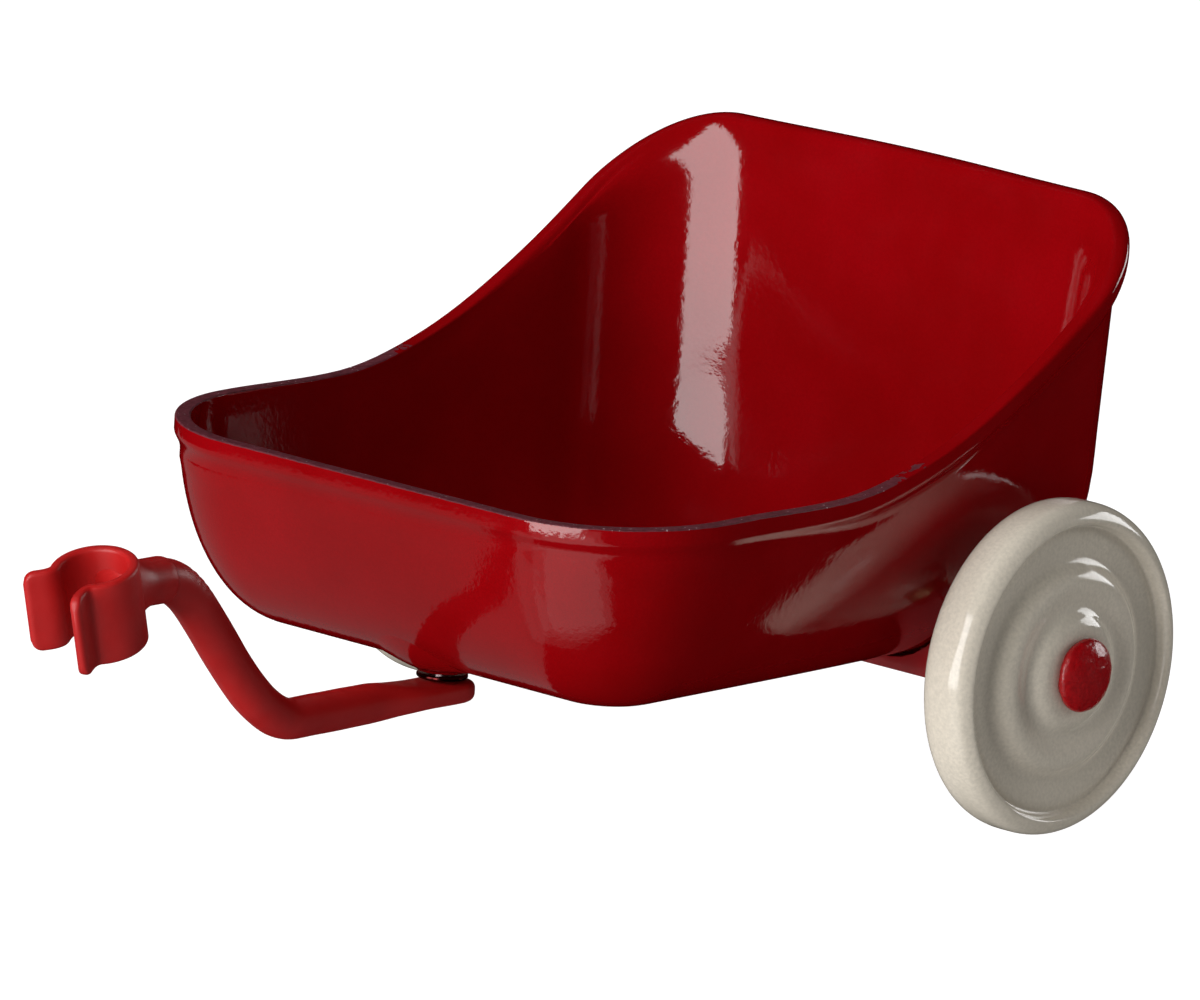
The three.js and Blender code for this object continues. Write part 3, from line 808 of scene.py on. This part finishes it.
def rounded_slab(thickness, height, radius, corner_steps=5, side_steps=10):
    """A rounded rectangle as (across, up) points."""
    points = []
    radius = min(radius, thickness / 2, height / 2)
    centres = [(1, -1, -90), (1, 1, 0), (-1, 1, 90), (-1, -1, 180)]
    for i, (sign_across, sign_up, start) in enumerate(centres):
        across = sign_across * (thickness / 2 - radius)
        up = sign_up * (height / 2 - radius)
        arc = []
        for k in range(corner_steps + 1):
            angle = math.radians(start + 90 * k / corner_steps)
            arc.append((across + radius * math.cos(angle), up + radius * math.sin(angle)))
        points += arc
        if i % 2 == 0:
            reach = -sign_up * 2 * (height / 2 - radius)
            points += [(arc[-1][0], arc[-1][1] + reach * k / side_steps) for k in range(1, side_steps)]
    return points


def make_clip():
    line = clip_line()
    lengths = [0.0]
    for a, b in zip(line, line[1:]):
        lengths.append(lengths[-1] + (b - a).length)
    total = lengths[-1]
    rings = []
    for i, point in enumerate(line):
        ahead = (line[min(i + 1, len(line) - 1)] - line[max(i - 1, 0)]).normalized()
        across = Vector((-ahead.y, ahead.x))
        from_end = min(lengths[i], total - lengths[i])
        share = math.sqrt(1 - (1 - clamp(from_end / LIP_ROUND)) ** 2)
        height = CLIP_HEIGHT - 2 * LIP_ROUND * (1 - share)
        thickness = CLIP_WALL * lerp(0.45, 1, math.sqrt(clamp(from_end / LIP_TAPER)))
        ring = []
        for off, up in rounded_slab(thickness, height, CLIP_EDGE):
            flat = point + across * off
            spot = CLIP_TURN @ Vector((flat.x, flat.y, up))
            ring.append(CLIP_CENTRE + spot)
        rings.append(ring)
    vertices, faces = loft(rings)
    clip = add_piece("clip_moulding", vertices, faces, RED_PLASTIC, "tow_bar")
    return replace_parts(clip, "hitch_clip")


NECK_RADIUS = 2.48 * MM
# How much wider and taller the neck is where it meets the clip's wall.
NECK_FLARE = (1.0 * MM, 1.4 * MM)
# The neck's rounded far edge: distance past the end of the bar's line, radius.
NECK_EDGE = [(0.5 * MM, 2.44 * MM), (0.75 * MM, 2.36 * MM), (0.9 * MM, 2.2 * MM)]


def wall_behind(across, height):
    """Where a line along the bar meets the middle of the clip's round wall."""
    axis = CLIP_TURN @ Vector((0, 0, 1))
    radius = CLIP_RADIUS - CLIP_WALL / 2
    start = Vector((across, 0, height)) - CLIP_CENTRE
    slant = start.dot(axis)
    a = 1 - axis.y**2
    b = start.y - slant * axis.y
    c = start.length_squared - slant**2 - radius**2
    return (math.sqrt(max(b * b - a * c, 0)) - b) / a


def make_neck(steps=16, sides=64):
    """The neck from the bar to the clip, flaring into the clip's round wall."""
    angles = [2 * math.pi * k / sides for k in range(sides)]
    end = BAR_END.y + 0.2 * MM
    rings = []
    for i in range(steps + 1):
        share = i / steps
        flare = (1 - min(share / 0.6, 1)) ** 2
        ring = []
        for angle in angles:
            across = (NECK_RADIUS + NECK_FLARE[0] * flare) * math.cos(angle)
            height = BAR_END.z + (NECK_RADIUS + NECK_FLARE[1] * flare) * math.sin(angle)
            y = lerp(wall_behind(across, height), end, share)
            ring.append(Vector((across, y, height)))
        rings.append(ring)
    for beyond, radius in NECK_EDGE:
        centre = BAR_END + Vector((0, beyond, 0))
        spokes = [Vector((math.cos(angle), 0, math.sin(angle))) for angle in angles]
        rings.append([centre + spoke * radius for spoke in spokes])
    vertices, faces = loft(rings)
    return add_piece("clip_neck", vertices, faces, RED_PLASTIC, "tow_bar")


# ---------- small hardware ----------


def bevelled_copy(node, name, material, body, width):
    """A CAD node's shape with its edges rounded, standing for the node."""
    mesh = frame["nodes"][node].data.copy()
    mesh.name = name
    mesh.materials.clear()
    mesh.materials.append(material)
    shape = bmesh.new()
    shape.from_mesh(mesh)
    bmesh.ops.remove_doubles(shape, verts=shape.verts, dist=0.00001)
    bmesh.ops.dissolve_limit(
        shape, angle_limit=math.radians(2), verts=shape.verts, edges=shape.edges
    )
    sharp = [
        edge
        for edge in shape.edges
        if len(edge.link_faces) == 2 and edge.calc_face_angle() > math.radians(35)
    ]
    bmesh.ops.bevel(
        shape, geom=sharp, offset=width, segments=3, profile=0.5, affect="EDGES", clamp_overlap=True
    )
    for face in shape.faces:
        face.smooth = True
    shape.to_mesh(mesh)
    shape.free()
    mesh.set_sharp_from_angle(angle=math.radians(40))
    piece = bpy.data.objects.new(name, mesh)
    bpy.context.scene.collection.objects.link(piece)
    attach(piece, body)
    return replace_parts(piece, node)


def turned_copy(node, name, material, body, axis, corners, segments=96):
    """A turned piece that stands for a small CAD node."""
    low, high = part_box(node)
    centre = (low + high) / 2
    along = Vector(axis)
    centre -= along * centre.dot(along)
    profile = dense(rounded(corners), 0.3 * MM)
    vertices, faces = loft(turned(profile, centre, axis, segments))
    piece = add_piece(name, vertices, faces, material, body)
    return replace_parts(piece, node)


def make_washer():
    low, high = WASHER_LOW.z, WASHER_HIGH.z
    radius = (WASHER_HIGH.x - WASHER_LOW.x) / 2 - 0.3 * MM
    corners = [
        (low, WASHER_BORE, 0),
        (low, radius, WASHER_EDGE),
        (high, radius, WASHER_EDGE),
        (high, WASHER_BORE, 0),
    ]
    # The washer's colour holds painted shade and a painted red reflection, not the bare steel's own
    # colour.
    return turned_copy(
        "pivot_washer", "washer_painted_shade", SHADED_RED_TINT_STEEL, "chassis", (0, 0, 1), corners
    )


def rivet_head(tip, inward, radius):
    """Half a rivet's outline, from the tip of its domed head to the shank under it."""
    return [
        (tip, 0.03 * MM, 0),
        (tip + inward * 0.1 * MM, 0.5 * radius, 0.5 * MM),
        (tip + inward * 0.5 * RIVET_HEAD, 0.92 * radius, 0.4 * MM),
        (tip + inward * RIVET_HEAD, radius, 0.1 * MM),
        (tip + inward * RIVET_HEAD, RIVET_SHANK, 0),
    ]


def make_rivet(side):
    node = f"{side}_rivet"
    low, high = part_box(node)
    radius = (high.x - low.x) / 2
    corners = rivet_head(low.z, 1, radius) + rivet_head(high.z, -1, radius)[::-1]
    return turned_copy(
        node, f"{node}_dome", RED_PAINT, "chassis", (0, 0, 1), corners, 64
    )


def make_axle_parts(side):
    bevelled_copy(
        f"{side}_stub_axle", f"{side}_axle_pin", STEEL, "chassis", HARDWARE_BEVEL
    )
    bevelled_copy(f"{side}_spacer", f"{side}_bush", BRASS, "chassis", HARDWARE_BEVEL)


make_tub()
make_boss()
bevelled_copy(
    "axle_bracket", "bracket_plate", RED_PAINT, "chassis", BRACKET_BEVEL
)
for side_name, side_sign in SIDES.items():
    make_wheel(side_name, side_sign)
    make_cap(side_name, side_sign)
    make_rivet(side_name)
    make_axle_parts(side_name)
make_washer()
bevelled_copy("pivot_screw", "pivot_screw_head", STEEL, "tow_bar", HARDWARE_BEVEL)
make_bar()
make_clip()
make_neck()


# ---------- floor, light and camera ----------

CENTRE = Vector((0, TUB_MIDDLE, 35 * MM))
FLOOR_HALF = 3.0
LIGHT_DISTANCE = 1.2
CAMERA_AZIMUTH = 41.231
CAMERA_ELEVATION = 12.441
CAMERA_ROLL = 3.669
CAMERA_DISTANCE = 1.278696
CAMERA_LENS = 361.2
# Where the camera aims: a point of the trailer, then how far to the right and up from it.
AIM = Vector((0, TUB_MIDDLE - 8.47 * MM, 30 * MM))
AIM_RIGHT = 1.891 * MM
AIM_UP = 1.345 * MM
# What the glossy enamel mirrors off the table top: azimuth, width, radiance.
GLARES = [(-2, 1.6, 0.14), (6, 1.2, 0.2), (8, 0.85, 0.3), (8, 0.6, 0.35)]
GLARE_ELEVATION = -32


def towards(azimuth, elevation):
    """A direction from its angle off -Y, turned towards +X, and its angle above the floor."""
    azimuth, elevation = math.radians(azimuth), math.radians(elevation)
    return Vector(
        (
            math.sin(azimuth) * math.cos(elevation),
            -math.cos(azimuth) * math.cos(elevation),
            math.sin(elevation),
        )
    )


def make_floor():
    """A pale floor that glows evenly, and throws no light or shadow of its own."""
    corners = [(-1, -1), (1, -1), (1, 1), (-1, 1)]
    mesh = bpy.data.meshes.new("floor")
    mesh.from_pydata([(FLOOR_HALF * x, FLOOR_HALF * y, 0) for x, y in corners], [], [(0, 1, 2, 3)])
    floor = bpy.data.objects.new("floor", mesh)
    bpy.context.scene.collection.objects.link(floor)
    recipe = Recipe("floor_paper")
    tone = recipe.spread(recipe.noise(3, 2), 0.3, 0.7)
    paper = recipe.blend(tone, (0.28, 0.28, 0.29, 1), (0.3, 0.3, 0.3, 1))
    material = recipe.finish(
        Base_Color=paper, Roughness=0.9, Emission_Color=(1, 1, 1, 1), Emission_Strength=0.95
    )
    mesh.materials.append(material)
    floor.visible_diffuse = False
    floor.visible_glossy = False
    floor.visible_shadow = False


def add_panel(name, direction, width, height, radiance, lights=True, mirrored=True):
    """A soft rectangular light that faces the trailer from a direction.

    It can be one that lights without being mirrored, or is mirrored without lighting."""
    light = bpy.data.lights.new(name, "AREA")
    light.shape = "RECTANGLE"
    light.size = width
    light.size_y = height
    light.energy = 4 * width * height * radiance
    panel = bpy.data.objects.new(name, light)
    panel.location = CENTRE + direction * LIGHT_DISTANCE
    panel.rotation_mode = "QUATERNION"
    panel.rotation_quaternion = direction.to_track_quat("Z", "Y")
    panel.visible_diffuse = lights
    panel.visible_glossy = mirrored
    bpy.context.scene.collection.objects.link(panel)


def make_lights():
    add_panel("window", towards(-3, 11), 1.0, 1.02, 4.9)
    add_panel("far_window", towards(158, 15), 0.6, 0.4, 4.5)
    add_panel("back_fill", towards(225, 38), 0.8, 0.5, 1.2, mirrored=False)
    add_panel("overhead", towards(-65, 60), 0.6, 0.6, 2.6, mirrored=False)
    for azimuth, width, radiance in GLARES:
        direction = towards(azimuth, GLARE_ELEVATION)
        height = 0.45 + 0.5 * width
        add_panel(f"glare_{width}", direction, width, height, radiance, lights=False)
    add_panel("table_left", towards(-70, -36), 1.9, 0.95, 0.15, lights=False)


def make_world(above, below):
    """Even light from above and, as off a pale floor, from below. It makes no reflections."""
    world = bpy.data.worlds.new("studio")
    world.use_nodes = True
    tree = world.node_tree
    place = tree.nodes.new("ShaderNodeTexCoord")
    split = tree.nodes.new("ShaderNodeSeparateXYZ")
    level = tree.nodes.new("ShaderNodeMapRange")
    tree.links.new(place.outputs["Generated"], split.inputs["Vector"])
    tree.links.new(split.outputs["Z"], level.inputs["Value"])
    level.inputs["From Min"].default_value = -0.05
    level.inputs["From Max"].default_value = 0.05
    level.inputs["To Min"].default_value = below
    level.inputs["To Max"].default_value = above
    tree.links.new(level.outputs["Result"], tree.nodes["Background"].inputs["Strength"])
    tree.nodes["Background"].inputs["Color"].default_value = (1, 1, 1, 1)
    world.cycles_visibility.glossy = False
    bpy.context.scene.world = world


def make_camera():
    roll = math.radians(CAMERA_ROLL)
    right = towards(CAMERA_AZIMUTH + 90, 0)
    back = towards(CAMERA_AZIMUTH, CAMERA_ELEVATION)
    up = back.cross(right)
    aim = AIM + right * AIM_RIGHT + up * AIM_UP
    camera_data = bpy.data.cameras.new("camera")
    camera_data.lens = CAMERA_LENS
    camera_data.sensor_width = 36
    camera_data.clip_end = 20
    camera = bpy.data.objects.new("camera", camera_data)
    across = right * math.cos(roll) + up * math.sin(roll)
    upward = up * math.cos(roll) - right * math.sin(roll)
    turn = Matrix((across, upward, back)).transposed()
    camera.matrix_world = Matrix.Translation(aim + back * CAMERA_DISTANCE) @ turn.to_4x4()
    bpy.context.scene.collection.objects.link(camera)
    bpy.context.scene.camera = camera


make_floor()
make_world(above=0.07, below=0.42)
make_lights()
make_camera()
bpy.context.scene.view_settings.view_transform = "Standard"
